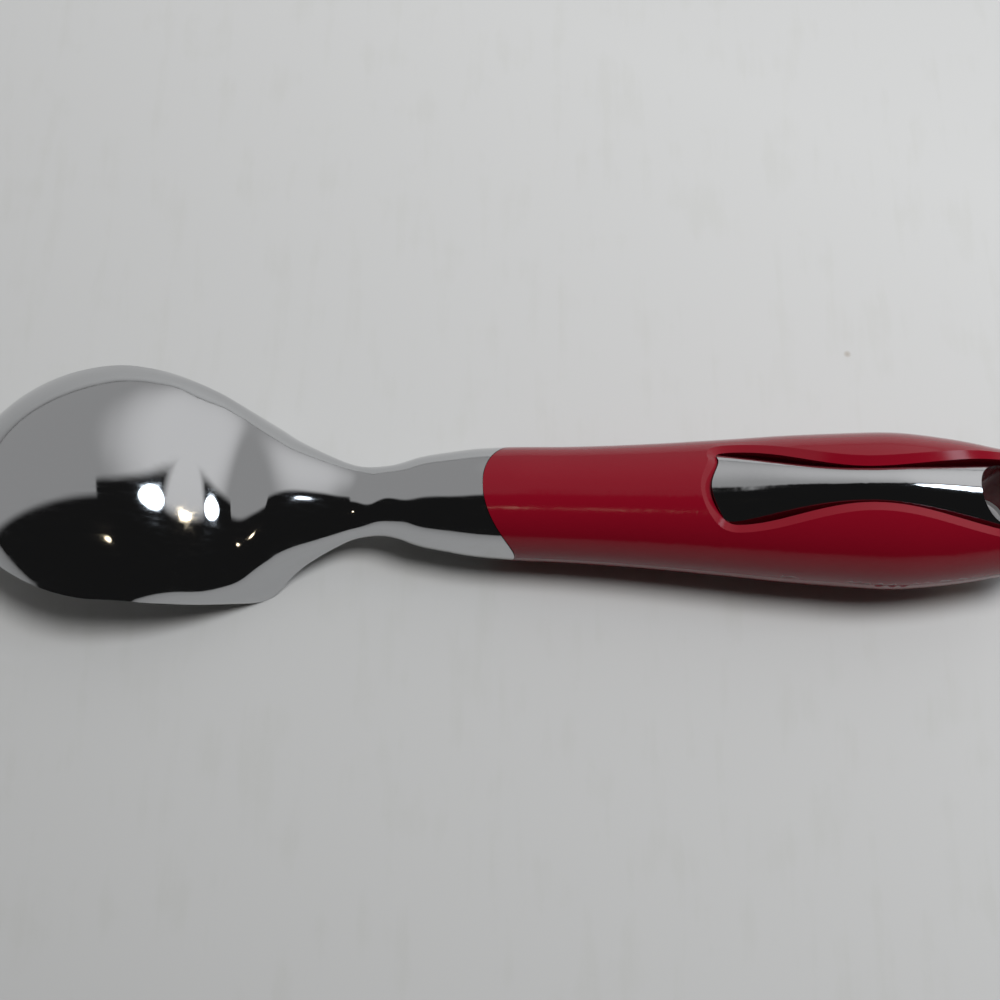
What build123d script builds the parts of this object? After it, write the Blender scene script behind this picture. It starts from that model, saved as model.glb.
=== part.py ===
from build123d import *
from math import atan2, cos, degrees, radians, sin, sqrt, tan
import os

# Ice cream scoop in one piece: chrome-plated head, red two-shell grip, chrome inlays, hang hole.
# Millimetres. The scoop lies face down as it rests: X runs from the bowl tip to the tail,
# Y is across, Z is up, and the plane z = 0 is the surface that it rests on.
# Everything is drawn first along the handle axis, with distances measured from the bowl tip,
# then tipped onto its two shoulder feet and the belly of the grip.

# Bowl, heights measured from the handle axis
BOWL_REACH = 30.5        # tip to the widest place
BOWL_HALF_WIDTH = 24.7
DOME_RADIUS = 31.5       # lengthwise radius of the back
DOME_TAIL = 9.5          # the round back runs this far past the widest place
DOME_AT = 26.5           # highest place of the back
DOME_HEIGHT = 20.0
RIM_HEIGHT = 9.1         # rim at the widest place
TIP_EDGE = 0.33          # height of the lip at the tip, under the back
RIM_LEAN = 42.0          # lean of the wall at the rim, degrees
BOWL_WALL = 2.6
LIP_WIDTH = 2.1          # width of the rim seen from below
HEEL_AT = 53.5           # end of the hollow
HEEL_ROUND = 12.0        # length over which the hollow closes
MOUTH_CUT = 2.0          # the hollow is cut this far past the rim
PROFILE_EASE = 2.2       # profiles behind the widest place are averaged over this far either way
PROFILE_LEAD = 4.0       # profiles behind the widest place take up their slope from this far ahead

# Shoulders, neck and collar
FOOT_AT = 60.0
FOOT_HALF_SPREAD = 18.0
FOOT_DEPTH = 10.3
VALLEY_HEIGHT = 8.2
VALLEY_PAST_HEEL = 1.0
BULGE_HEIGHT = 8.7
BULGE_PAST_FEET = 1.0
ARCH_RISE = 7.5          # hollow of the underside between the feet
NECK_AT = 83.0
NECK_RADIUS = 7.0
NECK_DIP = 2.0           # the back dips this far below the neck radius in front of the neck
NECK_DIP_LENGTH = 4.5
COLLAR_RADIUS = 11.35
COLLAR_PAST_JOINT = 5.4  # the collar would reach its full radius this far inside the grip
JOINT_AT = 103.1         # front of the grip on its centre line
JOINT_ARC = 13.0         # radius of the joint seen from above
JOINT_GAP = 0.12

# Shank inside the grip
SHANK_WIDTH = 11.0
SHANK_HEIGHT = 8.0
SHANK_ROOT = 6.0         # depth at which it starts inside the collar
SHANK_PAST_SCREW = 6.0
SHANK_CORNER = 1.5
SHANK_GAP = 0.15

# Grip
GRIP_END = 218.5
BELLY_TO_END = 34.0
BELLY_RADIUS = 15.7
TAIL_RADIUS = 12.6       # just before the end is rounded
TAIL_ROUND = 11.0
TAIL_SLOPE = 0.22        # fall of the outline where the rounding starts
GRIP_FRONT_DRAFT = 0.35  # the grip starts this much slimmer than the collar, inside the joint
GRIP_FRONT_LEAD = 4.0
SPLIT_GAP = 0.05         # half of the gap between the shells
BULKHEAD = 7.0           # solid front of each shell behind the joint

# Window and inlay
WINDOW_TO_END = 4.9
WINDOW_LENGTH = 66.6
WAIST_TO_END = 37.6      # slimmest place of the window, from the window's end
WINDOW_WIDE = 7.6        # half width at both ends
WINDOW_WAIST = 3.8
WINDOW_CORNER = 3.4
BEVEL_DEPTH = 1.25
BEVEL_WIDTH = 2.0
INLAY_RECESS = 0.15      # under the line of the grip, as far as the waist
INLAY_TAIL_RECESS = 0.9
INLAY_THICK = 1.5
INLAY_CROWN_WIDE = 9.6   # crosswise radius at the ends
INLAY_CROWN_WAIST = 4.4
INLAY_GAP = 0.12
INLAY_SEAT_GAP = 0.05
BED = 2.0                # plastic under the inlay
PEG_RADIUS = 1.2
PEG_LENGTH = 1.5
PEG_GAP = 0.1
PEG_TO_WINDOW = 4.0

# Hang hole
HOLE_TO_WINDOW = 8.6     # from the hole's middle to the window's end
HOLE_RADIUS = 6.3
HOLE_WALL = 1.8

# Screws
SCREW_RADIUS = 1.45
SCREW_HEAD_RADIUS = 2.7
SCREW_HEAD_HEIGHT = 1.7
SCREW_SLOT = 0.8
SCREW_SLOT_DEPTH = 0.8
SCREW_GAP = 0.1
SCREW_TIP_COVER = 2.0    # plastic left beyond the tip
BOSS_RADIUS = 4.0
SCREW_TIP_GAP = 0.5
FRONT_SCREW_TO_WINDOW = 10.0
REAR_SCREW_TO_HOLE = 25.0
TAIL_SCREW_TO_HOLE = 12.0

# Places along the handle that follow from the sizes above
BELLY_AT = GRIP_END - BELLY_TO_END
WINDOW_END = GRIP_END - WINDOW_TO_END
WINDOW_START = WINDOW_END - WINDOW_LENGTH
WAIST_AT = WINDOW_END - WAIST_TO_END
HOLE_AT = WINDOW_END - HOLE_TO_WINDOW
FRONT_SCREW_AT = WINDOW_START + FRONT_SCREW_TO_WINDOW
REAR_SCREW_AT = HOLE_AT - REAR_SCREW_TO_HOLE
TAIL_SCREW_AT = HOLE_AT - TAIL_SCREW_TO_HOLE
SHANK_END = REAR_SCREW_AT + SHANK_PAST_SCREW
PEG_PLACES = (
    WINDOW_START + PEG_TO_WINDOW,
    (FRONT_SCREW_AT + REAR_SCREW_AT) / 2,
    (REAR_SCREW_AT + TAIL_SCREW_AT) / 2,
)

FULL = 0.5523            # handle share that makes a Bezier quarter round
WALL = INLAY_TAIL_RECESS + INLAY_THICK + BED
FAR = 2 * BOWL_HALF_WIDTH + GRIP_END / 10    # past everything, for cutting tools


def through(points, x):
    """Height at x of a smooth curve through the points, without overshoot."""
    n = len(points)
    slope = [(points[i + 1][1] - points[i][1]) / (points[i + 1][0] - points[i][0]) for i in range(n - 1)]
    turn = [slope[0]]
    for a, b in zip(slope, slope[1:]):
        turn.append(0.0 if a * b <= 0 else 2 * a * b / (a + b))
    turn.append(slope[-1])
    if x <= points[0][0]:
        return points[0][1]
    for i in range(n - 1):
        (x0, y0), (x1, y1) = points[i], points[i + 1]
        if x <= x1:
            h = x1 - x0
            t = (x - x0) / h
            keep = (1 + 2 * t) * (1 - t) ** 2
            return keep * y0 + (1 - keep) * y1 + h * t * (1 - t) * ((1 - t) * turn[i] - t * turn[i + 1])
    return points[-1][1]


def dome(x, radius):
    """Lengthwise profile of the back of the bowl."""
    return DOME_HEIGHT - DOME_RADIUS + sqrt(max(radius ** 2 - (x - DOME_AT) ** 2, 0.0))


def between(start, end, steps):
    """Curve points from (share of the way, share of the change) pairs."""
    (x0, y0), (x1, y1) = start, end
    return [(x0 + way * (x1 - x0), y0 + change * (y1 - y0)) for way, change in steps]


def half_width(x):
    if x < BOWL_REACH:
        return BOWL_HALF_WIDTH * (1 - ((BOWL_REACH - x) / BOWL_REACH) ** 1.8) ** 0.55
    wide, foot = (BOWL_REACH, BOWL_HALF_WIDTH), (FOOT_AT, FOOT_HALF_SPREAD)
    neck, collar = (NECK_AT, NECK_RADIUS), (JOINT_AT + COLLAR_PAST_JOINT, COLLAR_RADIUS)
    points = [(BOWL_REACH - PROFILE_LEAD, half_width(BOWL_REACH - PROFILE_LEAD))]
    points += between(wide, foot, [(0, 0), (0.27, 0.03), (0.41, 0.10), (0.54, 0.21), (0.68, 0.40),
                                   (0.81, 0.64), (0.91, 0.83)])
    points += between(foot, neck, [(0, 0), (0.09, 0.10), (0.17, 0.25), (0.30, 0.45), (0.46, 0.64), (0.63, 0.825),
                                   (0.80, 0.965)])
    points += between(neck, collar, [(0, 0), (0.14, 0.16), (0.27, 0.44), (0.49, 0.68), (0.73, 0.89), (1, 1)])
    return through(points, x)


def edge_height(x):
    """Height of the rim, then of the widest line of the shoulders and neck."""
    if x < BOWL_REACH:
        tip = dome(0, DOME_RADIUS) - TIP_EDGE
        return tip + (RIM_HEIGHT - tip) * (1 - ((BOWL_REACH - x) / BOWL_REACH) ** 3.5)
    wide, foot, neck = (BOWL_REACH, RIM_HEIGHT), (FOOT_AT, -FOOT_DEPTH), (NECK_AT, 0.0)
    points = [(BOWL_REACH - PROFILE_LEAD, edge_height(BOWL_REACH - PROFILE_LEAD))]
    points += between(wide, foot, [(0, 0), (0.14, 0.03), (0.27, 0.10), (0.41, 0.20), (0.54, 0.335), (0.68, 0.52),
                                   (0.81, 0.74), (0.91, 0.91)])
    points += between(foot, neck, [(0, 0), (0.09, 0.10), (0.17, 0.30), (0.30, 0.53), (0.46, 0.69), (0.63, 0.815),
                                   (0.80, 0.92), (1, 1)])
    return through(points, x)


def spine_height(x):
    """Top of the section: dome, valley, bulge, neck and collar."""
    if x >= NECK_AT:
        return half_width(x)
    last_of_dome = BOWL_REACH + DOME_TAIL
    if x <= last_of_dome:
        return dome(x, DOME_RADIUS)
    dip = (NECK_AT - NECK_DIP_LENGTH, NECK_RADIUS - NECK_DIP)
    valley, bulge = (HEEL_AT + VALLEY_PAST_HEEL, VALLEY_HEIGHT), (FOOT_AT + BULGE_PAST_FEET, BULGE_HEIGHT)
    points = [(x0, dome(x0, DOME_RADIUS)) for x0 in (last_of_dome - PROFILE_LEAD, last_of_dome)]
    points += between(points[-1], valley, [(0.25, 0.26), (0.50, 0.60), (0.75, 0.89)])
    points += between(valley, bulge, [(0, 0), (0.46, 0.6)])
    points += between(bulge, dip, [(0, 0), (0.17, 0.11), (0.34, 0.35), (0.54, 0.65), (0.77, 0.92), (1, 1)])
    return through(points + [(NECK_AT, NECK_RADIUS)], x)


def lean(x):
    """Lean of the wall at its edge, in degrees; the heel is slightly undercut."""
    to_foot = FOOT_AT - BOWL_REACH
    steps = [(0, 42), (0.14, 38), (0.27, 32), (0.41, 22), (0.54, 10), (0.68, -9), (0.81, -14), (0.91, -10), (1, -4),
             (1.14, 0)]
    return through([(0, RIM_LEAN)] + [(BOWL_REACH + way * to_foot, RIM_LEAN * angle / 42) for way, angle in steps], x)


def fullness(x):
    """Handle share of a quarter section at its edge: shallow arc at the bowl, round at the neck."""
    return through([(0, 0.64), (BOWL_REACH, 0.64), (HEEL_AT, 0.66), (FOOT_AT, 0.62), (NECK_AT, FULL),
                    (NECK_AT + 1, FULL)], x)


def breadth(x):
    """Handle share of a quarter section at its top: the valley is a narrow ridge, the bulge is broad."""
    valley = HEEL_AT + VALLEY_PAST_HEEL
    points = between((BOWL_REACH, 0.64), (valley, 0.41), [(0, 0), (0.50, 0.05), (0.67, 0.40), (0.81, 0.87), (1, 1)])
    points += between((valley, 0.41), (FOOT_AT, 0.64), [(0.55, 0.57), (1, 1)])
    return through(points + [(FOOT_AT + NECK_DIP_LENGTH, 0.62), (NECK_AT, FULL), (NECK_AT + 1, FULL)], x)


def roundness(x):
    """Share of a round lower quarter: none under the bowl, all of it at the neck."""
    return through([(0, 0.0), (HEEL_AT, 0.0), (FOOT_AT, 0.6), (FOOT_AT + 0.3 * (NECK_AT - FOOT_AT), 0.9),
                    (NECK_AT, 1.0), (NECK_AT + 1, 1.0)], x)


def under_height(x):
    """Underside on the centre line: level with the rim, arched between the feet, round at the neck."""
    round_from = NECK_AT + NECK_DIP_LENGTH
    if x <= HEEL_AT:
        return edge_height(x)
    if x >= round_from:
        return -half_width(x)
    return through([
        (HEEL_AT, edge_height(HEEL_AT)),
        (FOOT_AT, ARCH_RISE - FOOT_DEPTH),
        (FOOT_AT + 0.30 * (NECK_AT - FOOT_AT), -0.76 * NECK_RADIUS),
        (FOOT_AT + 0.60 * (NECK_AT - FOOT_AT), -0.94 * NECK_RADIUS),
        (NECK_AT, -NECK_RADIUS),
        (round_from, -half_width(round_from)),
    ], x)


def eased(profile, x):
    """Profile averaged over a short length, which takes the kinks out of it."""
    reach = min(PROFILE_EASE, max(x - BOWL_REACH, 0.0))
    shares = ((-1, 1), (-0.5, 4), (0, 6), (0.5, 4), (1, 1))
    return sum(share * profile(x + way * reach) for way, share in shares) / 16


def quarter(x, half, low, high, y_sign):
    """Upper quarter of a section, from its side edge to the centre line."""
    rise = high - low
    corner = half - rise * tan(radians(eased(lean, x)))
    full, broad = eased(fullness, x), eased(breadth, x)
    points = [(half, low), (half + full * (corner - half), low + full * rise), (broad * corner, high), (0, high)]
    return [Vector(x, y_sign * y, z) for y, z in points]


def under_quarter(x, half, low, under, roundness, y_sign):
    """Lower quarter: straight across under the bowl, a round quarter at the neck."""
    drop = under - low
    first = (half * (2 + roundness) / 3, low + drop * (1 - roundness) / 3 + drop * roundness * FULL)
    second = (half * ((1 - roundness) / 3 + roundness * FULL), low + drop * (2 + roundness) / 3)
    points = [(half, low), first, second, (0, under)]
    return [Vector(x, y_sign * y, z) for y, z in points]


def section_face(x, half, low, high, under, roundness):
    upper = [quarter(x, half, low, high, side) for side in (1, -1)]
    lower = [under_quarter(x, half, low, under, roundness, side) for side in (1, -1)]
    edges = [
        Bezier(*upper[0]),
        Bezier(*reversed(upper[1])),
        Bezier(*lower[1]),
        Bezier(*reversed(lower[0])),
    ]
    return make_face(Wire(edges))


def nose_stations(start, end, count, first_angle=3.0):
    """Places that crowd towards the round start of an oval."""
    step = (90.0 - first_angle) / count
    return [end - (end - start) * cos(radians(first_angle + step * i)) for i in range(count)]


def head_blank():
    """Outer skin of the bowl, shoulders, neck and collar as one solid."""
    last = JOINT_AT + JOINT_ARC
    steps = 44
    places = nose_stations(0.0, BOWL_REACH, 9)
    places += [BOWL_REACH + (last - BOWL_REACH) * i / steps for i in range(steps + 1)]
    faces = []
    for x in places:
        half, low, high, under = [eased(p, x) for p in (half_width, edge_height, spine_height, under_height)]
        faces.append(section_face(x, half, low, high, under, eased(roundness, x)))
    return loft(faces)


def hollow_start():
    """Place where the inner back meets the rim, worked out by halving."""
    low, high = 0.0, DOME_AT
    for _ in range(40):
        middle = 0.5 * (low + high)
        if dome(middle, DOME_RADIUS - BOWL_WALL) > edge_height(middle):
            high = middle
        else:
            low = middle
    return high


def bowl_hollow():
    """The scooping hollow, open below, one wall inside the outer skin."""
    start = hollow_start()
    close_from = HEEL_AT - HEEL_ROUND
    inner_half = BOWL_HALF_WIDTH - LIP_WIDTH
    places = nose_stations(start, BOWL_REACH, 8, 4.0) + [BOWL_REACH, 0.5 * (BOWL_REACH + close_from), close_from]
    places += [close_from + HEEL_ROUND * sin(radians(a)) for a in (20, 40, 55, 68, 78, 86)]
    faces = []
    for x in places:
        if x < BOWL_REACH:
            half = inner_half * (1 - ((BOWL_REACH - x) / (BOWL_REACH - start)) ** 1.8) ** 0.55
            top = dome(x, DOME_RADIUS - BOWL_WALL)
        else:
            half = eased(half_width, x) - LIP_WIDTH
            top = eased(spine_height, x) - BOWL_WALL
        low = eased(edge_height, x) - MOUTH_CUT
        if x > close_from:
            share = sqrt(1 - ((x - close_from) / HEEL_ROUND) ** 2)
            half *= share
            top = low + (top - low) * share
        spread = MOUTH_CUT * tan(radians(eased(lean, x)))
        faces.append(section_face(x, half + spread, low, top, low - MOUTH_CUT, 0.0))
    return loft(faces)


def joint_cylinder(radius):
    return Pos(JOINT_AT + JOINT_ARC, 0, 0) * Cylinder(radius, 2 * FAR)


def behind_joint(radius):
    """Space of the grip: inside the joint arc and everything behind it."""
    block = Pos(JOINT_AT + JOINT_ARC + 2 * FAR, 0, 0) * Box(4 * FAR, 2 * FAR, 2 * FAR)
    return joint_cylinder(radius) + block


def screw_places():
    return {"front_shank_screw": FRONT_SCREW_AT, "rear_shank_screw": REAR_SCREW_AT, "tail_screw": TAIL_SCREW_AT}


def shank(grow=0.0):
    """Flat bar that runs from the collar into the grip."""
    start = JOINT_AT - SHANK_ROOT
    size = SHANK_END - start + grow
    bar = Pos(start + size / 2, 0, 0) * Box(size, SHANK_WIDTH + 2 * grow, SHANK_HEIGHT + 2 * grow)
    return fillet(bar.edges().filter_by(Axis.X), SHANK_CORNER)


def scoop_head():
    body = head_blank() - bowl_hollow() - behind_joint(JOINT_ARC + JOINT_GAP)
    body += shank()
    for place in (FRONT_SCREW_AT, REAR_SCREW_AT):
        body -= Pos(place, 0, 0) * Cylinder(SCREW_RADIUS + SCREW_GAP, SHANK_HEIGHT * 2)
    return body


def grip_radius(x):
    """Outer radius of the grip, which swells to its belly and draws in at the tail."""
    to_belly = BELLY_AT - JOINT_AT
    swell = BELLY_RADIUS - COLLAR_RADIUS
    return through([
        (JOINT_AT - GRIP_FRONT_LEAD, COLLAR_RADIUS - GRIP_FRONT_DRAFT),
        (JOINT_AT + 0.07 * to_belly, COLLAR_RADIUS),
        (JOINT_AT + 0.20 * to_belly, COLLAR_RADIUS + 0.06 * swell),
        (JOINT_AT + 0.36 * to_belly, COLLAR_RADIUS + 0.21 * swell),
        (JOINT_AT + 0.57 * to_belly, COLLAR_RADIUS + 0.50 * swell),
        (JOINT_AT + 0.78 * to_belly, COLLAR_RADIUS + 0.82 * swell),
        (BELLY_AT, BELLY_RADIUS),
        (BELLY_AT + 0.45 * (GRIP_END - TAIL_ROUND - BELLY_AT), BELLY_RADIUS - 0.30 * (BELLY_RADIUS - TAIL_RADIUS)),
        (GRIP_END - TAIL_ROUND, TAIL_RADIUS),
    ], x)


def grip_solid(inset):
    """Turned shape of the grip, drawn in by the inset."""
    start, last, end = JOINT_AT - GRIP_FRONT_LEAD / 2, GRIP_END - TAIL_ROUND, GRIP_END - inset
    steps = 14
    places = [start + (last - start) * i / steps for i in range(steps + 1)]
    points = [(x, grip_radius(x) - inset) for x in places]
    for angle in (25, 50, 72):
        points.append((last + (end - last) * sin(radians(angle)), (TAIL_RADIUS - inset) * cos(radians(angle)) ** 0.8))
    points.append((end, 0))
    side = Spline(*points, tangents=[(1, 0), (0, -1)])
    outline = [side, Line((end, 0), (start, 0)), Line((start, 0), points[0])]
    return revolve(make_face(outline), axis=Axis.X)


def window_face(grow):
    """Hourglass outline of the window, drawn in plan and let out by grow."""
    start, end = WINDOW_START - grow, WINDOW_END + grow
    wide, waist = WINDOW_WIDE + grow, WINDOW_WAIST + grow
    corner = WINDOW_CORNER + grow
    left, right = start + corner * 1.6, end - corner * 1.6
    top = Spline((left, wide), (0.5 * (left + WAIST_AT), 0.5 * (wide + waist) + 0.1), (WAIST_AT, waist),
                 (0.5 * (WAIST_AT + right), 0.5 * (wide + waist) - 0.1), (right, wide),
                 tangents=[(1, 0), (1, 0)])
    right_end = Spline((right, wide), (end, 0), (right, -wide), tangents=[(1, 0), (-1, 0)])
    left_end = Spline((left, -wide), (start + 0.3 * (left - start), -0.72 * wide), (start, 0),
                      (start + 0.3 * (left - start), 0.72 * wide), (left, wide), tangents=[(-1, 0), (1, 0)])
    bottom = Spline((right, -wide), (0.5 * (WAIST_AT + right), -0.5 * (wide + waist) + 0.1), (WAIST_AT, -waist),
                    (0.5 * (left + WAIST_AT), -0.5 * (wide + waist) - 0.1), (left, -wide),
                    tangents=[(-1, 0), (-1, 0)])
    return make_face([top, right_end, bottom, left_end])


def inlay_crown(x):
    """Crosswise radius of the inlay's face."""
    return through([
        (WINDOW_START, INLAY_CROWN_WIDE),
        (WAIST_AT, INLAY_CROWN_WAIST),
        (WINDOW_END, INLAY_CROWN_WIDE),
    ], x)


def inlay_body(drop):
    """Arched lengthwise body whose back is the inlay's face, lowered by the drop."""
    faces = []
    count = 12
    start, end = WINDOW_START - 3.0, WINDOW_END + 3.0
    for i in range(count + 1):
        x = start + (end - start) * i / count
        radius = inlay_crown(x)
        level = inlay_top(x) - radius - drop
        base = -BELLY_RADIUS
        arch = ThreePointArc((x, radius, level), (x, 0, level + radius), (x, -radius, level))
        sides = Polyline((x, -radius, level), (x, -radius, base), (x, radius, base), (x, radius, level))
        faces.append(make_face([arch, sides]))
    return loft(faces)


def inlay_top(x):
    """Height of the inlay's face on the centre line."""
    recess = through([(WINDOW_START, INLAY_RECESS), (WAIST_AT, INLAY_RECESS), (WINDOW_END, INLAY_TAIL_RECESS)], x)
    return grip_crown(x) - recess


def grip_crown(x):
    """Outer radius as far as the window, without the rounded tail."""
    return grip_radius(min(x, GRIP_END - TAIL_ROUND)) - TAIL_SLOPE * max(x - (GRIP_END - TAIL_ROUND), 0.0)


def window_prism(grow):
    return extrude(window_face(grow), FAR)


def chamfer_window(body):
    """Wide shallow bevel round the window."""
    rim = []
    for edge in body.edges():
        spot = edge @ 0.5
        inside = WINDOW_START - 0.1 < spot.X < WINDOW_END + 0.1 and abs(spot.Y) < WINDOW_WIDE + 0.1
        above_inlay = sqrt(spot.Y ** 2 + spot.Z ** 2) > grip_crown(spot.X) - 0.5 * BEVEL_DEPTH
        if inside and above_inlay and spot.Z > 0:
            rim.append(edge)
    outside = max((f for f in body.faces() if set(rim) & set(f.edges())), key=lambda f: f.area)
    return chamfer(rim, BEVEL_WIDTH, BEVEL_DEPTH, reference=outside)


def shell():
    """Upper grip shell before it is placed; the lower one is its mirror image with other screw holes."""
    outer = grip_solid(0.0) & behind_joint(JOINT_ARC)
    upper_half = Pos(0, 0, FAR / 2 + SPLIT_GAP) * Box(6 * FAR * 2, 2 * FAR, FAR)
    skin = outer & upper_half
    room = grip_solid(WALL) & (Pos(JOINT_AT + JOINT_ARC + BULKHEAD + 2 * FAR, 0, 0) * Box(4 * FAR, 2 * FAR, 2 * FAR))
    body = skin - room
    tube = Pos(HOLE_AT, 0, 0) * Cylinder(HOLE_RADIUS + HOLE_WALL, 2 * FAR)
    body += tube & skin
    for name, place in screw_places().items():
        body += (Pos(place, 0, 0) * Cylinder(BOSS_RADIUS, 2 * FAR)) & skin
    body -= shank(SHANK_GAP)
    body = chamfer_window(body - (window_prism(0.0) - inlay_body(INLAY_THICK + INLAY_SEAT_GAP)))
    for place in PEG_PLACES:
        bottom = bed_level(place) - PEG_LENGTH - PEG_GAP
        body -= Pos(place, 0, bottom + INLAY_THICK) * Cylinder(PEG_RADIUS + PEG_GAP, 2 * INLAY_THICK)
    body -= Pos(HOLE_AT, 0, 0) * Cylinder(HOLE_RADIUS, 2 * FAR)
    return body


def bed_level(x):
    """Height of the bed under the inlay on the centre line."""
    return inlay_top(x) - INLAY_THICK - INLAY_SEAT_GAP


def upper_grip_shell():
    body = shell()
    for place in screw_places().values():
        depth = bed_level(place) - SCREW_TIP_COVER
        body -= Pos(place, 0, depth / 2) * Cylinder(SCREW_RADIUS + SCREW_GAP / 2, depth)
    return body


def screw_seat(place):
    """Level of the screw head's bearing face, below the axis, sunk clear of the curved inlay."""
    crown = inlay_crown(place)
    sag = crown - sqrt(crown ** 2 - (SCREW_HEAD_RADIUS + SCREW_GAP) ** 2)
    return -(bed_level(place) - sag - SCREW_HEAD_HEIGHT - SCREW_GAP)


def lower_grip_shell():
    body = mirror(shell(), about=Plane.XY)
    for place in screw_places().values():
        seat = screw_seat(place)
        body -= Pos(place, 0, seat / 2) * Cylinder(SCREW_RADIUS + SCREW_GAP, -seat + BED)
        body -= Pos(place, 0, seat - FAR / 2) * Cylinder(SCREW_HEAD_RADIUS + SCREW_GAP, FAR)
    return body


def inlay():
    """Chrome-plated cover in the window, with the hang hole through it."""
    plate = (window_prism(-INLAY_GAP) & inlay_body(0.0)) - inlay_body(INLAY_THICK)
    for place in PEG_PLACES:
        top = bed_level(place) + INLAY_THICK / 2
        length = PEG_LENGTH + INLAY_THICK / 2
        plate += Pos(place, 0, top - length / 2) * Cylinder(PEG_RADIUS, length)
    return plate - Pos(HOLE_AT, 0, 0) * Cylinder(HOLE_RADIUS, 2 * FAR)


def screw(place):
    """Round-headed screw that stands on the lower bed and bites into the upper boss."""
    seat = screw_seat(place)
    tip = bed_level(place) - SCREW_TIP_COVER - SCREW_TIP_GAP
    shaft = Pos(place, 0, (tip + seat) / 2) * Cylinder(SCREW_RADIUS, tip - seat)
    head = Pos(place, 0, seat - SCREW_HEAD_HEIGHT / 2) * Cylinder(SCREW_HEAD_RADIUS, SCREW_HEAD_HEIGHT)
    body = shaft + head
    for turn in (0, 90):
        slot = Box(SCREW_HEAD_RADIUS * 1.3, SCREW_SLOT, 2 * SCREW_SLOT_DEPTH)
        body -= Pos(place, 0, seat - SCREW_HEAD_HEIGHT) * Rot(0, 0, turn) * slot
    return body


def rest_angle(front, back):
    """Tilt of the handle axis, in degrees, at which both bodies touch the ground."""
    angle = 0.0
    for _ in range(4):
        low_front, low_back = [(Rot(0, -angle, 0) * body).bounding_box().min.Z for body in (front, back)]
        angle += degrees(atan2(low_front - low_back, BELLY_AT - FOOT_AT))
    return angle


def write_parts():
    os.makedirs("parts", exist_ok=True)
    nodes = {
        "scoop_head": scoop_head(),
        "upper_grip_shell": upper_grip_shell(),
        "lower_grip_shell": lower_grip_shell(),
        "upper_inlay": inlay(),
        "lower_inlay": mirror(inlay(), about=Plane.XY),
    }
    for name, place in screw_places().items():
        nodes[name] = screw(place)
    tilt = Rot(0, -rest_angle(nodes["scoop_head"], nodes["lower_inlay"]), 0)
    placed = {name: tilt * body for name, body in nodes.items()}
    boxes = [body.bounding_box() for body in placed.values()]
    middle = 0.5 * (min(box.min.X for box in boxes) + max(box.max.X for box in boxes))
    ground = min(box.min.Z for box in boxes)
    for name, body in placed.items():
        export_step(Pos(-middle, 0, -ground) * body, f"parts/{name}.step")


write_parts()
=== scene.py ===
import math

import bmesh
import bpy
from mathutils import Matrix, Vector


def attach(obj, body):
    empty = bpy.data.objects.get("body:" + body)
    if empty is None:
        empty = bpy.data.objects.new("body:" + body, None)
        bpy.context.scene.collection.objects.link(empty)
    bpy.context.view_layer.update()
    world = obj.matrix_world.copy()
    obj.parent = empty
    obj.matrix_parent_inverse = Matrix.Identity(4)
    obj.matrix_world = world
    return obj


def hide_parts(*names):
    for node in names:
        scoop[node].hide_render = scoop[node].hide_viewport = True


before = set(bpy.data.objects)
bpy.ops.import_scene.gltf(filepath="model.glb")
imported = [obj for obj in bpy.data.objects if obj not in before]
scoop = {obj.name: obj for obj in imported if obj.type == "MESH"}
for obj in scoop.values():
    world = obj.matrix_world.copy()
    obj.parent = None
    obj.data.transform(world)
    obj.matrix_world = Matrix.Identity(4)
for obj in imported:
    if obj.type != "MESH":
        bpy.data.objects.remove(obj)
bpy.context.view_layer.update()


# Camera. It looks down on the scoop from the near side, so close that both ends leave the frame. The
# scoop lies face down on its two feet and its lower inlay, and its handle rises towards the tail.
# Places are millimetres from the bowl tip along the handle, across it, and above its axis.
MM_IN_METRE = 1000
REST_TILT = math.radians(2.6493)
REST_MIDDLE = 109.046
REST_LIFT = 7.159
CAMERA_HEIGHT_ANGLE = math.radians(68)
CAMERA_ROLL = math.radians(-1.1)
CAMERA_DISTANCE = 300
CAMERA_AIMS_AT = 106.5
CAMERA_SHIFT = 0.0036
CAMERA_SEES_FROM = 0.01
LENS_MM = 54
SENSOR_MM = 36


def turned(along, across, up):
    return Vector((
        along * math.cos(REST_TILT) - up * math.sin(REST_TILT),
        across,
        along * math.sin(REST_TILT) + up * math.cos(REST_TILT),
    ))


def on_scoop(along, across, up):
    place = turned(along, across, up) + Vector((-REST_MIDDLE, 0, REST_LIFT))
    return place / MM_IN_METRE


camera_data = bpy.data.cameras.new("camera")
camera_data.lens = LENS_MM
camera_data.sensor_width = SENSOR_MM
camera_data.shift_y = CAMERA_SHIFT
camera_data.clip_start = CAMERA_SEES_FROM
camera = bpy.data.objects.new("camera", camera_data)
bpy.context.collection.objects.link(camera)
look_up = Vector((0, math.sin(CAMERA_HEIGHT_ANGLE), math.cos(CAMERA_HEIGHT_ANGLE)))
look_right = Vector((1, 0, 0))
rolled_right = math.cos(CAMERA_ROLL) * look_right - math.sin(CAMERA_ROLL) * look_up
rolled_up = math.cos(CAMERA_ROLL) * look_up + math.sin(CAMERA_ROLL) * look_right
back = Vector((0, -math.cos(CAMERA_HEIGHT_ANGLE), math.sin(CAMERA_HEIGHT_ANGLE)))
axes = [turned(*axis) for axis in (rolled_right, rolled_up, back)]
camera.matrix_world = Matrix.Translation(
    on_scoop(CAMERA_AIMS_AT, back.y * CAMERA_DISTANCE, back.z * CAMERA_DISTANCE)
) @ Matrix(axes).transposed().to_4x4()
bpy.context.scene.camera = camera
bpy.context.scene.view_settings.view_transform = "Standard"


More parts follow.
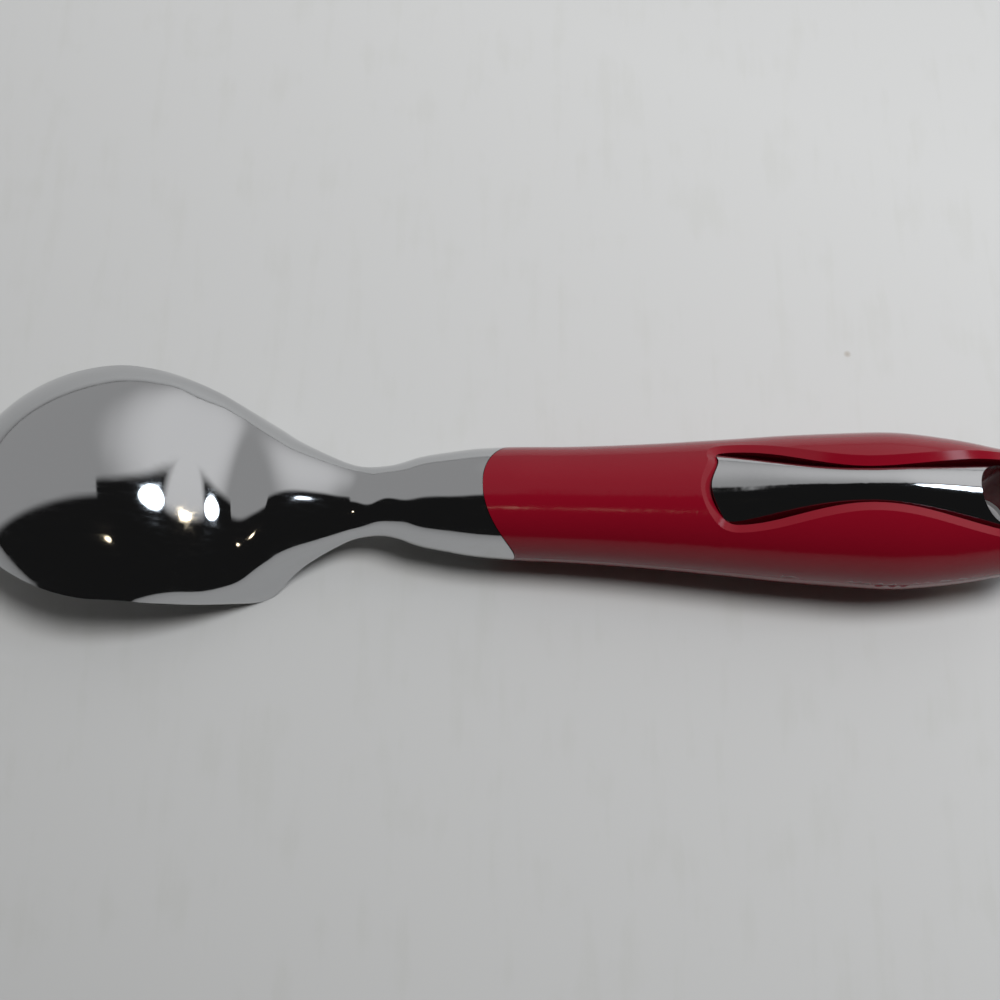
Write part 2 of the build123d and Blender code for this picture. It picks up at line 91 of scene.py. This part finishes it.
# Table. A pale card lies under the scoop. Its faint mottling, its streaks and its few brown specks
# are in the colour. Painted shade in the colour also darkens its near left side, where less light falls.
TABLE_SIZE = 6.0
CARD_COLOUR = (0.55, 0.55, 0.545, 1)
CARD_SHADE = (0.535, 0.535, 0.525, 1)
SHADE_UP_TO, COLOUR_FROM = 0.75, 0.9583
CARD_ROUGHNESS, CARD_SHINE = 0.6, 0.2
MOTTLE_SCALE, MOTTLE_DETAIL = 70, 8
STREAK_STRETCH, STREAK_DETAIL = (260, 30, 1), 5
SPECK_COLOUR = (0.30, 0.24, 0.18, 1)
SPECK_SCALE, SPECK_STRENGTH = 26, 0.7
SPECK_CORE, SPECK_RIM = 0.012, 0.03
# Painted shade: the card's colour is scaled darker towards the near left and a little lighter towards the
# far right.
PAINTED_SHADE_WAY, PAINTED_SHADE_REACH = (0.5, 1.2, 0), 0.16
PAINTED_SHADE_DARKEST, PAINTED_SHADE_LIGHTEST = 0.71, 1.01


def noise(tree, vector, scale, detail):
    node = tree.nodes.new("ShaderNodeTexNoise")
    node.inputs["Scale"].default_value = scale
    node.inputs["Detail"].default_value = detail
    tree.links.new(vector, node.inputs["Vector"])
    return node.outputs["Fac"]


def streaky_noise(tree, vector, stretch, detail):
    """Noise drawn out into streaks along the axis that is scaled least."""
    node = tree.nodes.new("ShaderNodeMapping")
    node.inputs["Scale"].default_value = stretch
    tree.links.new(vector, node.inputs["Vector"])
    return noise(tree, node.outputs["Vector"], 1, detail)


def reach_along(tree, vector, way):
    """How far a place or a direction reaches along the given way."""
    node = tree.nodes.new("ShaderNodeVectorMath")
    node.operation = "DOT_PRODUCT"
    node.inputs[1].default_value = way
    tree.links.new(vector, node.inputs[0])
    return node.outputs["Value"]


def blend_over(tree, value, start, end, low=0, high=1, kind="LINEAR"):
    """A value that goes from low to high while another one goes from start to end."""
    node = tree.nodes.new("ShaderNodeMapRange")
    node.interpolation_type = kind
    node.inputs["From Min"].default_value = start
    node.inputs["From Max"].default_value = end
    node.inputs["To Min"].default_value = low
    node.inputs["To Max"].default_value = high
    tree.links.new(value, node.inputs["Value"])
    return node.outputs["Result"]


card_mesh = bmesh.new()
bmesh.ops.create_grid(card_mesh, x_segments=1, y_segments=1, size=TABLE_SIZE / 2)
card_data = bpy.data.meshes.new("table")
card_mesh.to_mesh(card_data)
card_mesh.free()
card = bpy.data.objects.new("table", card_data)
bpy.context.collection.objects.link(card)

card_look = bpy.data.materials.new("pale_card")
card_look.use_nodes = True
tree = card_look.node_tree
surface = tree.nodes["Principled BSDF"]
surface.inputs["Roughness"].default_value = CARD_ROUGHNESS
surface.inputs["Specular IOR Level"].default_value = CARD_SHINE
coords = tree.nodes.new("ShaderNodeTexCoord")
on_card = coords.outputs["Object"]
mottled = tree.nodes.new("ShaderNodeMath")
mottled.operation = "ADD"
shade = tree.nodes.new("ShaderNodeValToRGB")
shade.color_ramp.elements[0].position = SHADE_UP_TO
shade.color_ramp.elements[0].color = CARD_SHADE
shade.color_ramp.elements[1].position = COLOUR_FROM
shade.color_ramp.elements[1].color = CARD_COLOUR
specks = tree.nodes.new("ShaderNodeTexVoronoi")
specks.inputs["Scale"].default_value = SPECK_SCALE
speckled = tree.nodes.new("ShaderNodeMix")
speckled.data_type = "RGBA"
speckled.inputs["B"].default_value = SPECK_COLOUR
painted_shade_colour = tree.nodes.new("ShaderNodeVectorMath")
painted_shade_colour.operation = "SCALE"
mottling = noise(tree, on_card, MOTTLE_SCALE, MOTTLE_DETAIL)
streaks = streaky_noise(tree, on_card, STREAK_STRETCH, STREAK_DETAIL)
tree.links.new(mottling, mottled.inputs[0])
tree.links.new(streaks, mottled.inputs[1])
tree.links.new(mottled.outputs["Value"], shade.inputs["Fac"])
tree.links.new(on_card, specks.inputs["Vector"])
near_speck = blend_over(tree, specks.outputs["Distance"], SPECK_CORE, SPECK_RIM, SPECK_STRENGTH, 0)
tree.links.new(near_speck, speckled.inputs["Factor"])
tree.links.new(shade.outputs["Color"], speckled.inputs["A"])
# Painted shade: the card's colour is scaled from darkest at the near left to lightest at the far right.
towards_painted_light = reach_along(tree, on_card, PAINTED_SHADE_WAY)
painted_shade = blend_over(tree, towards_painted_light, -PAINTED_SHADE_REACH, PAINTED_SHADE_REACH, PAINTED_SHADE_DARKEST, PAINTED_SHADE_LIGHTEST)
tree.links.new(speckled.outputs["Result"], painted_shade_colour.inputs[0])
tree.links.new(painted_shade, painted_shade_colour.inputs["Scale"])
tree.links.new(painted_shade_colour.outputs["Vector"], surface.inputs["Base Color"])
card_data.materials.append(card_look)


# Room. Two bright sheets hang behind the table, the left one reaching nearer, and the wall far to the
# right is pale, while the near side of the room is dark. Chrome shows them all, so the world's colour
# tells them apart by direction. The camera itself sees a plain pale backdrop.
SHEET_BRIGHT = 0.50
SHEET_GLOW = 0.58
GLOW_FROM = (0.68, 0.59, 0.44)
GLOW_STARTS, GLOW_FULL = 0.55, 1.0
LEFT_SHEET = ((-0.25, 1, 0), 0.06)
RIGHT_SHEET = ((-0.30, 1, 0), -0.115)
EDGE_BEFORE, EDGE_AFTER = 0.02, 0.10
SHEETS_MEET, MEETING_EDGE = -0.05, 0.01
SIDE_WALL = ((0, 1, 0), -0.10)
SIDE_WALL_FROM, SIDE_WALL_EDGE = 0.74, 0.06
ROOM_DARK = 0.015
PALE_BACKDROP = 0.75

world = bpy.data.worlds.new("room")
bpy.context.scene.world = world
world.use_nodes = True
tree = world.node_tree
tree.nodes.clear()
coords = tree.nodes.new("ShaderNodeTexCoord")
direction = coords.outputs["Generated"]
parts = tree.nodes.new("ShaderNodeSeparateXYZ")
tree.links.new(direction, parts.inputs["Vector"])
rightwards = parts.outputs["X"]


def sheet_seen(facing, reach):
    """One where a sheet or wall is seen, and nought nearer than it reaches."""
    far = reach_along(tree, direction, facing)
    return blend_over(tree, far, -reach - EDGE_BEFORE, -reach + EDGE_AFTER, kind="SMOOTHSTEP")


sheets = tree.nodes.new("ShaderNodeMix")
sheets.data_type = "FLOAT"
side_wall = tree.nodes.new("ShaderNodeMath")
side_wall.operation = "MULTIPLY"
all_pale = tree.nodes.new("ShaderNodeMath")
all_pale.operation = "MAXIMUM"
lit = tree.nodes.new("ShaderNodeMath")
lit.operation = "MULTIPLY_ADD"
lit.inputs[2].default_value = ROOM_DARK
camera_sees = tree.nodes.new("ShaderNodeLightPath")
pale = tree.nodes.new("ShaderNodeMix")
pale.data_type = "FLOAT"
pale.inputs["B"].default_value = PALE_BACKDROP
background = tree.nodes.new("ShaderNodeBackground")
output = tree.nodes.new("ShaderNodeOutputWorld")
right_of_meeting = blend_over(tree, rightwards, SHEETS_MEET - MEETING_EDGE, SHEETS_MEET + MEETING_EDGE)
tree.links.new(right_of_meeting, sheets.inputs["Factor"])
tree.links.new(sheet_seen(*LEFT_SHEET), sheets.inputs["A"])
tree.links.new(sheet_seen(*RIGHT_SHEET), sheets.inputs["B"])
far_right = blend_over(tree, rightwards, SIDE_WALL_FROM, SIDE_WALL_FROM + SIDE_WALL_EDGE)
tree.links.new(far_right, side_wall.inputs[0])
tree.links.new(sheet_seen(*SIDE_WALL), side_wall.inputs[1])
tree.links.new(sheets.outputs["Result"], all_pale.inputs[0])
tree.links.new(side_wall.outputs["Value"], all_pale.inputs[1])
towards_glow = reach_along(tree, direction, GLOW_FROM)
glow = blend_over(tree, towards_glow, GLOW_STARTS, GLOW_FULL, SHEET_BRIGHT, SHEET_BRIGHT + SHEET_GLOW,
                  kind="SMOOTHSTEP")
tree.links.new(all_pale.outputs["Value"], lit.inputs[0])
tree.links.new(glow, lit.inputs[1])
tree.links.new(camera_sees.outputs["Is Camera Ray"], pale.inputs["Factor"])
tree.links.new(lit.outputs["Value"], pale.inputs["A"])
tree.links.new(pale.outputs["Result"], background.inputs["Strength"])
tree.links.new(background.outputs["Background"], output.inputs["Surface"])


# Lamps. A soft lamp high on the right lights the table, and the chrome doesn't show it. What the
# chrome shows is a small bluish lamp and two warm ones. A lamp's size is its width and its height.
PLAIN_LIGHT = (1.0, 1.0, 1.0)
BLUISH_LIGHT = (0.80, 0.90, 1.0)
WARM_LIGHT = (1.0, 0.84, 0.58)


def lamp(name, place, size, power, colour):
    data = bpy.data.lights.new(name, "AREA")
    data.shape = "ELLIPSE"
    data.size, data.size_y = size
    data.energy = power
    data.color = colour
    obj = bpy.data.objects.new(name, data)
    bpy.context.collection.objects.link(obj)
    obj.location = place
    obj.rotation_euler = obj.location.to_track_quat("Z", "Y").to_euler()
    return obj


soft_lamp = lamp("soft_lamp", place=(0.24, 0.03, 0.92), size=(0.34, 0.34), power=7.3, colour=PLAIN_LIGHT)
soft_lamp.visible_glossy = False
lamp("blue_lamp", place=(0.645, 0.17, 0.906), size=(0.23, 0.54), power=2.0, colour=BLUISH_LIGHT)
lamp("warm_lamp_right", place=(0.95, 0.16, 0.50), size=(0.10, 0.10), power=0.25, colour=WARM_LIGHT)
lamp("warm_lamp_near", place=(-0.12, -0.59, 1.04), size=(0.08, 0.08), power=0.09, colour=WARM_LIGHT)


# Inlays. Two thin arched plates of chrome-plated plastic, one in each grip shell's window, held by
# their pegs. The plating is polished as the head's is, and wiping has left fine lengthwise scratches.
CHROME_COLOUR = (0.53, 0.535, 0.545, 1)
SCRATCH_STRETCH, SCRATCH_DETAIL = (45, 900, 900), 4
SCRATCHED_FROM, SCRATCHED_FULL = 0.45, 0.75
POLISHED, DULLED = 0.05, 0.13
SCRATCH_STRENGTH, SCRATCH_DEPTH = 0.5, 0.000005


def dress(names, look):
    for name in names:
        scoop[name].data.materials.clear()
        scoop[name].data.materials.append(look)


chrome = bpy.data.materials.new("worn_chrome")
chrome.use_nodes = True
tree = chrome.node_tree
surface = tree.nodes["Principled BSDF"]
surface.inputs["Metallic"].default_value = 1
surface.inputs["Base Color"].default_value = CHROME_COLOUR
coords = tree.nodes.new("ShaderNodeTexCoord")
scratches = streaky_noise(tree, coords.outputs["Object"], SCRATCH_STRETCH, SCRATCH_DETAIL)
dulled = blend_over(tree, scratches, SCRATCHED_FROM, SCRATCHED_FULL, POLISHED, DULLED)
tree.links.new(dulled, surface.inputs["Roughness"])
grain = tree.nodes.new("ShaderNodeBump")
grain.inputs["Strength"].default_value = SCRATCH_STRENGTH
grain.inputs["Distance"].default_value = SCRATCH_DEPTH
tree.links.new(scratches, grain.inputs["Height"])
tree.links.new(grain.outputs["Normal"], surface.inputs["Normal"])
dress(("upper_inlay", "lower_inlay"), chrome)


# Scoop head. One zinc casting, chrome plated: bowl, feet, neck and collar, with a flat shank inside
# the grip that two screws hold. Its skin is built in rings along the handle's axis, in millimetres.
WIDEST_AT, WIDEST_HALF = 30.5, 24.697
TIP_NARROWS, TIP_ROUNDS = 1.8, 0.55
DOME_AT, DOME_HEIGHT, DOME_RADIUS = 26.5, 20.0, 31.5
DOME_TAIL = 9.5
RIM_HEIGHT, RIM_RISES, TIP_EDGE, RIM_LEAN = 9.1, 3.5, 0.33, 42.0
BOWL_WALL, LIP_WIDTH, MOUTH_CUT = 2.6, 2.1, 2.0
HEEL_AT, HEEL_ROUND = 53.5, 12.0
FOOT_AT, FOOT_HALF, FOOT_DEPTH, ARCH_RISE = 60.0, 18.0, 10.3, 7.5
VALLEY_AT, VALLEY_HEIGHT = 54.5, 8.2
BULGE_AT, BULGE_HEIGHT = 61.0, 8.7
DIP_AT, DIP_HEIGHT = 78.5, 5.0
NECK_AT, NECK_RADIUS = 83.0, 7.0
COLLAR_AT, COLLAR_RADIUS = 108.5, 11.35
JOINT_AT, JOINT_ARC, JOINT_GAP = 103.1, 13.0, 0.12
SHANK_START, SHANK_END, SHANK_WIDTH, SHANK_HEIGHT = 97.1, 186.0, 11.0, 8.0
SHANK_HOLES, SHANK_HOLE_RADIUS = (157.0, 180.0), 1.55
BOWL_FULL, VALLEY_BROAD, DIP_BROAD = 0.64, 0.41, 0.62
HEEL_FULL, FOOT_FULL = 0.66, 0.62
ROUND = 0.5523
LEAD = 4.0
EASE = 2.2
UPPER_STEPS, LOWER_STEPS = 36, 14
TIP_RINGS, TIP_FIRST_ANGLE, RING_GAP = 56, 3.0, 0.6
HOLLOW_TIP_RINGS, HOLLOW_FIRST_ANGLE, HOLLOW_RING_GAP = 40, 4, 0.8
HEEL_ANGLES = range(4, 89, 4)
JOINT_CUT_DEPTH, JOINT_CUT_SIDES = 60, 360
HOLE_DEPTH, HOLE_SIDES = 20, 32
SHARP_FROM = math.radians(35)
HALVINGS = 40


def through(points, x):
    """Height at x of a smooth line through the points, which doesn't swing past any of them."""
    slopes = [(b[1] - a[1]) / (b[0] - a[0]) for a, b in zip(points, points[1:])]
    turns = [slopes[0]]
    for a, b in zip(slopes, slopes[1:]):
        turns.append(0.0 if a * b <= 0 else 2 * a * b / (a + b))
    turns.append(slopes[-1])
    if x <= points[0][0]:
        return points[0][1]
    for i, ((x0, y0), (x1, y1)) in enumerate(zip(points, points[1:])):
        if x <= x1:
            step = x1 - x0
            t = (x - x0) / step
            keep = (1 + 2 * t) * (1 - t) ** 2
            bend = (1 - t) * turns[i] - t * turns[i + 1]
            return keep * y0 + (1 - keep) * y1 + step * t * (1 - t) * bend
    return points[-1][1]


def between(start, end, steps):
    """Points on the way from start to end, given as shares of the way and of the change."""
    (x0, y0), (x1, y1) = start, end
    return [(x0 + way * (x1 - x0), y0 + change * (y1 - y0)) for way, change in steps]


def dome(x, radius=DOME_RADIUS):
    return DOME_HEIGHT - DOME_RADIUS + math.sqrt(max(radius ** 2 - (x - DOME_AT) ** 2, 0.0))


def tip_share(x, start=0.0):
    """Width of the rounded tip at x, as a share of the widest place."""
    return (1 - ((WIDEST_AT - x) / (WIDEST_AT - start)) ** TIP_NARROWS) ** TIP_ROUNDS


def half_width(x):
    if x < WIDEST_AT:
        return WIDEST_HALF * tip_share(x)
    lead_from = WIDEST_AT - LEAD
    points = [(lead_from, half_width(lead_from))]
    points += between((WIDEST_AT, WIDEST_HALF), (FOOT_AT, FOOT_HALF),
                      [(0, 0), (0.27, 0.03), (0.41, 0.10), (0.54, 0.21), (0.68, 0.40), (0.81, 0.64),
                       (0.91, 0.83)])
    points += between((FOOT_AT, FOOT_HALF), (NECK_AT, NECK_RADIUS),
                      [(0, 0), (0.09, 0.10), (0.17, 0.25), (0.30, 0.45), (0.46, 0.64), (0.63, 0.825),
                       (0.80, 0.965)])
    points += between((NECK_AT, NECK_RADIUS), (COLLAR_AT, COLLAR_RADIUS),
                      [(0, 0), (0.14, 0.16), (0.27, 0.44), (0.49, 0.68), (0.73, 0.89), (1, 1)])
    return through(points, x)


def edge_height(x):
    if x < WIDEST_AT:
        tip = dome(0) - TIP_EDGE
        return tip + (RIM_HEIGHT - tip) * (1 - ((WIDEST_AT - x) / WIDEST_AT) ** RIM_RISES)
    lead_from = WIDEST_AT - LEAD
    points = [(lead_from, edge_height(lead_from))]
    points += between((WIDEST_AT, RIM_HEIGHT), (FOOT_AT, -FOOT_DEPTH),
                      [(0, 0), (0.14, 0.03), (0.27, 0.10), (0.41, 0.20), (0.54, 0.335), (0.68, 0.52),
                       (0.81, 0.74), (0.91, 0.91)])
    points += between((FOOT_AT, -FOOT_DEPTH), (NECK_AT, 0.0),
                      [(0, 0), (0.09, 0.10), (0.17, 0.30), (0.30, 0.53), (0.46, 0.69), (0.63, 0.815),
                       (0.80, 0.92), (1, 1)])
    return through(points, x)


def spine_height(x):
    tail = WIDEST_AT + DOME_TAIL
    if x <= tail:
        return dome(x)
    if x >= NECK_AT:
        return half_width(x)
    valley, bulge = (VALLEY_AT, VALLEY_HEIGHT), (BULGE_AT, BULGE_HEIGHT)
    points = [(place, dome(place)) for place in (tail - LEAD, tail)]
    points += between(points[-1], valley, [(0.25, 0.26), (0.50, 0.60), (0.75, 0.89)])
    points += between(valley, bulge, [(0, 0), (0.46, 0.6)])
    points += between(bulge, (DIP_AT, DIP_HEIGHT),
                      [(0, 0), (0.17, 0.11), (0.34, 0.35), (0.54, 0.65), (0.77, 0.92), (1, 1)])
    return through(points + [(NECK_AT, NECK_RADIUS)], x)


def under_height(x):
    if x <= HEEL_AT:
        return edge_height(x)
    round_from = 2 * NECK_AT - DIP_AT
    if x >= round_from:
        return -half_width(x)
    foot_to_neck = NECK_AT - FOOT_AT
    return through([(HEEL_AT, edge_height(HEEL_AT)), (FOOT_AT, ARCH_RISE - FOOT_DEPTH),
                    (FOOT_AT + 0.30 * foot_to_neck, -0.76 * NECK_RADIUS),
                    (FOOT_AT + 0.60 * foot_to_neck, -0.94 * NECK_RADIUS),
                    (NECK_AT, -NECK_RADIUS), (round_from, -half_width(round_from))], x)


def wall_lean(x):
    """How far the wall leans inwards above its edge, in degrees."""
    bowl_to_foot = FOOT_AT - WIDEST_AT
    steps = [(0, 42), (0.14, 38), (0.27, 32), (0.41, 22), (0.54, 10), (0.68, -9), (0.81, -14),
             (0.91, -10), (1, -4), (1.14, 0)]
    return through([(0, RIM_LEAN)] + [(WIDEST_AT + way * bowl_to_foot, angle) for way, angle in steps], x)


def fullness(x):
    """How far the wall keeps its own direction before it turns into the back."""
    return through([(0, BOWL_FULL), (WIDEST_AT, BOWL_FULL), (HEEL_AT, HEEL_FULL), (FOOT_AT, FOOT_FULL),
                    (NECK_AT, ROUND), (NECK_AT + 1, ROUND)], x)


def breadth(x):
    """How far the back stays level before it turns into the wall."""
    widest, valley, foot = (WIDEST_AT, BOWL_FULL), (VALLEY_AT, VALLEY_BROAD), (FOOT_AT, BOWL_FULL)
    points = between(widest, valley, [(0, 0), (0.50, 0.05), (0.67, 0.40), (0.81, 0.87), (1, 1)])
    points += between(valley, foot, [(0.55, 0.57), (1, 1)])
    points += [(FOOT_AT + NECK_AT - DIP_AT, DIP_BROAD), (NECK_AT, ROUND), (NECK_AT + 1, ROUND)]
    return through(points, x)


def roundness(x):
    """Nought where the underside is flat across, and one where it is round."""
    return through([(0, 0.0), (HEEL_AT, 0.0), (FOOT_AT, 0.6), (FOOT_AT + 0.3 * (NECK_AT - FOOT_AT), 0.9),
                    (NECK_AT, 1.0), (NECK_AT + 1, 1.0)], x)


def eased(profile, x):
    """A profile's mean around x, so that the skin has no kinks lengthwise."""
    reach = min(EASE, max(x - WIDEST_AT, 0.0))
    shares = ((-1, 1), (-0.5, 4), (0, 6), (0.5, 4), (1, 1))
    return sum(share * profile(x + way * reach) for way, share in shares) / 16


def curve(points, steps):
    """Places along a cubic curve, without its last point."""
    places = []
    for i in range(steps):
        t = i / steps
        shares = ((1 - t) ** 3, 3 * t * (1 - t) ** 2, 3 * t ** 2 * (1 - t), t ** 3)
        places.append([sum(s * p[k] for s, p in zip(shares, points)) for k in (0, 1)])
    return places


def section(x, half, low, high, under, round_share):
    """One closed ring: up the right wall to the back, down the left wall and across below."""
    rise, drop = high - low, under - low
    corner = half - rise * math.tan(math.radians(eased(wall_lean, x)))
    full, broad = eased(fullness, x), eased(breadth, x)
    upper = [(half, low), (half + full * (corner - half), low + full * rise), (broad * corner, high),
             (0, high)]
    lower = [(half, low),
             (half * (2 + round_share) / 3, low + drop * ((1 - round_share) / 3 + round_share * ROUND)),
             (half * ((1 - round_share) / 3 + round_share * ROUND), low + drop * (2 + round_share) / 3),
             (0, under)]
    other_upper = [(-y, z) for y, z in reversed(upper)]
    other_lower = [(-y, z) for y, z in lower]
    ring = curve(upper, UPPER_STEPS) + curve(other_upper, UPPER_STEPS)
    ring += curve(other_lower, LOWER_STEPS) + curve(lower[::-1], LOWER_STEPS)
    return [(x, y, z) for y, z in ring]


def outer_ring(x):
    half, low, high, under = [eased(p, x) for p in (half_width, edge_height, spine_height, under_height)]
    return section(x, half, low, high, under, eased(roundness, x))


# The hollow starts where its dome comes up to the rim.
hollow_start, reach = 0.0, DOME_AT
for _ in range(HALVINGS):
    middle = (hollow_start + reach) / 2
    if dome(middle, DOME_RADIUS - BOWL_WALL) > edge_height(middle):
        reach = middle
    else:
        hollow_start = middle
hollow_start = reach


def hollow_ring(x):
    if x < WIDEST_AT:
        half = (WIDEST_HALF - LIP_WIDTH) * tip_share(x, hollow_start)
        top = dome(x, DOME_RADIUS - BOWL_WALL)
    else:
        half, top = eased(half_width, x) - LIP_WIDTH, eased(spine_height, x) - BOWL_WALL
    low = eased(edge_height, x) - MOUTH_CUT
    if x > HEEL_AT - HEEL_ROUND:
        share = math.sqrt(1 - ((x - HEEL_AT + HEEL_ROUND) / HEEL_ROUND) ** 2)
        half, top = half * share, low + (top - low) * share
    half += MOUTH_CUT * math.tan(math.radians(eased(wall_lean, x)))
    return section(x, half, low, top, low - MOUTH_CUT, 0.0)


def skin_of(rings):
    """Closed mesh that joins the rings in order."""
    mesh = bmesh.new()
    rows = [[mesh.verts.new(point) for point in ring] for ring in rings]
    for row, after in zip(rows, rows[1:]):
        for i in range(len(row)):
            mesh.faces.new((row[i - 1], row[i], after[i], after[i - 1]))
    mesh.faces.new(rows[0])
    mesh.faces.new(rows[-1][::-1])
    bmesh.ops.recalc_face_normals(mesh, faces=mesh.faces)
    return mesh


def tip_places(start, end, count, first_angle):
    """Ring places that crowd together towards the tip, without the end."""
    step = (90.0 - first_angle) / count
    return [end - (end - start) * math.cos(math.radians(first_angle + step * i)) for i in range(count)]


def even_places(start, end, step):
    count = round((end - start) / step)
    return [start + (end - start) * i / count for i in range(count + 1)]


def as_object(mesh, name):
    data = bpy.data.meshes.new(name)
    mesh.to_mesh(data)
    mesh.free()
    obj = bpy.data.objects.new(name, data)
    bpy.context.collection.objects.link(obj)
    return obj


def combine(body, tool, operation):
    """Body cut by, or joined with, the tool, which is then removed."""
    step = body.modifiers.new("combine", "BOOLEAN")
    step.solver = "EXACT"
    step.operation = operation
    step.object = tool
    finished = body.evaluated_get(bpy.context.evaluated_depsgraph_get())
    result = bpy.data.meshes.new_from_object(finished)
    body.modifiers.clear()
    body.data = result
    bpy.data.objects.remove(tool)


def cylinder(along, radius, depth, sides):
    mesh = bmesh.new()
    bmesh.ops.create_cone(mesh, cap_ends=True, segments=sides, radius1=radius, radius2=radius,
                          depth=depth, matrix=Matrix.Translation((along, 0, 0)))
    return as_object(mesh, "tool")


def bar(start, end, width, height):
    mesh = bmesh.new()
    place = Matrix.Translation(((start + end) / 2, 0, 0))
    bmesh.ops.create_cube(mesh, size=1, matrix=place @ Matrix.Diagonal((end - start, width, height, 1)))
    return as_object(mesh, "tool")


joint_middle = JOINT_AT + JOINT_ARC
outer_places = tip_places(0, WIDEST_AT, TIP_RINGS, TIP_FIRST_ANGLE)
outer_places += even_places(WIDEST_AT, joint_middle, RING_GAP)
head = as_object(skin_of([outer_ring(x) for x in outer_places]), "head")

heel_from = HEEL_AT - HEEL_ROUND
hollow_places = tip_places(hollow_start, WIDEST_AT, HOLLOW_TIP_RINGS, HOLLOW_FIRST_ANGLE)
hollow_places += even_places(WIDEST_AT, heel_from, HOLLOW_RING_GAP)
hollow_places += [heel_from + HEEL_ROUND * math.sin(math.radians(angle)) for angle in HEEL_ANGLES]
combine(head, as_object(skin_of([hollow_ring(x) for x in hollow_places]), "tool"), "DIFFERENCE")

joint_cut = cylinder(joint_middle, JOINT_ARC + JOINT_GAP, JOINT_CUT_DEPTH, JOINT_CUT_SIDES)
combine(head, joint_cut, "DIFFERENCE")

shank = bar(SHANK_START, SHANK_END, SHANK_WIDTH, SHANK_HEIGHT)
for place in SHANK_HOLES:
    combine(shank, cylinder(place, SHANK_HOLE_RADIUS, HOLE_DEPTH, HOLE_SIDES), "DIFFERENCE")
combine(head, shank, "UNION")

to_metres = Matrix.Scale(1 / MM_IN_METRE, 4)
head.data.transform(Matrix.Translation(on_scoop(0, 0, 0)) @ Matrix.Rotation(-REST_TILT, 4, "Y") @ to_metres)
head.data.materials.clear()
head.data.materials.append(chrome)
head.data.shade_smooth()
head.data.set_sharp_from_angle(angle=SHARP_FROM)
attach(head, "root")
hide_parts("scoop_head")


# Grip shells. Two glossy red plastic mouldings that meet along the middle of the grip, one above the
# shank and one below it. The screws draw them together.
SHELL_RED = (0.183, 0.003, 0.011, 1)
SHELL_ROUGHNESS, SHELL_SHINE = 0.12, 0.30

red = bpy.data.materials.new("glossy_red")
red.use_nodes = True
surface = red.node_tree.nodes["Principled BSDF"]
surface.inputs["Base Color"].default_value = SHELL_RED
surface.inputs["Roughness"].default_value = SHELL_ROUGHNESS
surface.inputs["Specular IOR Level"].default_value = SHELL_SHINE
dress(("upper_grip_shell", "lower_grip_shell"), red)


# Screws. Three round-headed ones of plain steel go up through the lower shell into the upper one, and
# the lower inlay hides them. The two in front also go through the shank.
STEEL_COLOUR, STEEL_ROUGHNESS = (0.45, 0.45, 0.46, 1), 0.35

steel = bpy.data.materials.new("screw_steel")
steel.use_nodes = True
surface = steel.node_tree.nodes["Principled BSDF"]
surface.inputs["Metallic"].default_value = 1
surface.inputs["Base Color"].default_value = STEEL_COLOUR
surface.inputs["Roughness"].default_value = STEEL_ROUGHNESS
dress(("front_shank_screw", "rear_shank_screw", "tail_screw"), steel)
